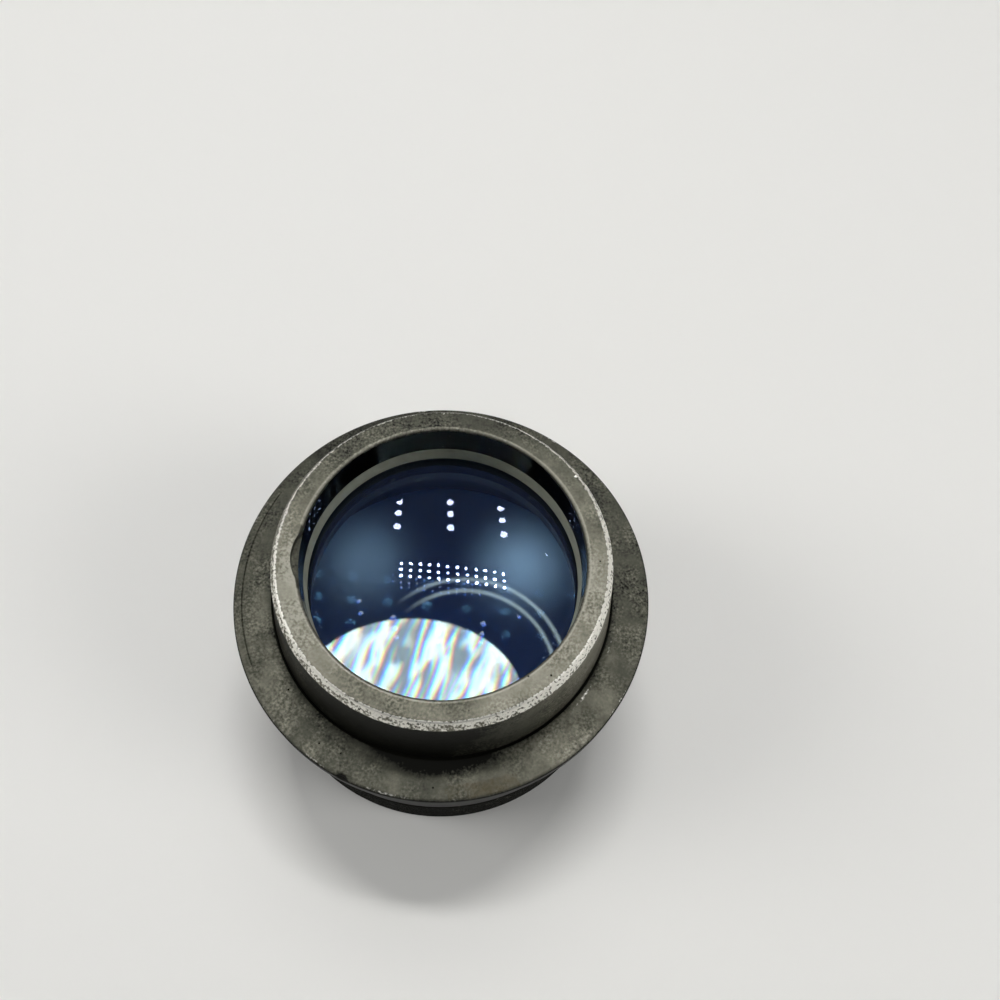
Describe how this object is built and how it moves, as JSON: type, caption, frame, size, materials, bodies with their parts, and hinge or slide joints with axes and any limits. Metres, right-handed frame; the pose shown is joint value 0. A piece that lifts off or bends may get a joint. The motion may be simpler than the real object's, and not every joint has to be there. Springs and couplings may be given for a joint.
{
  "type": "telescope objective lens",
  "caption": "Telescope objective: air-spaced lens pair in a turned steel cell with front collar, thin flange and tall rear barrel.",
  "frame": {"origin": "centre of the rear foot, on the optical axis", "axes": "+Z along the optical axis from the rear foot towards the front of the lens; the filed notch in the front rim lies at -X"},
  "size_m": [0.06, 0.06, 0.0415],
  "materials": {
    "worn_steel": "dull oxidised grey with bright worn edges, gloss black inside",
    "crown_glass": "polished, blue anti-reflection coating",
    "flint_glass": "polished, blue anti-reflection coating",
    "seal": "matte",
    "spacer_metal": "blackened",
    "ring_metal": "blackened, satin"
  },
  "bodies": {
    "root": {"cell_body": "worn_steel", "sealing_ring": "seal", "crown_element": "crown_glass", "spacer_ring": "spacer_metal", "flint_element": "flint_glass", "retaining_ring": "ring_metal"}
  },
  "joints": []
}
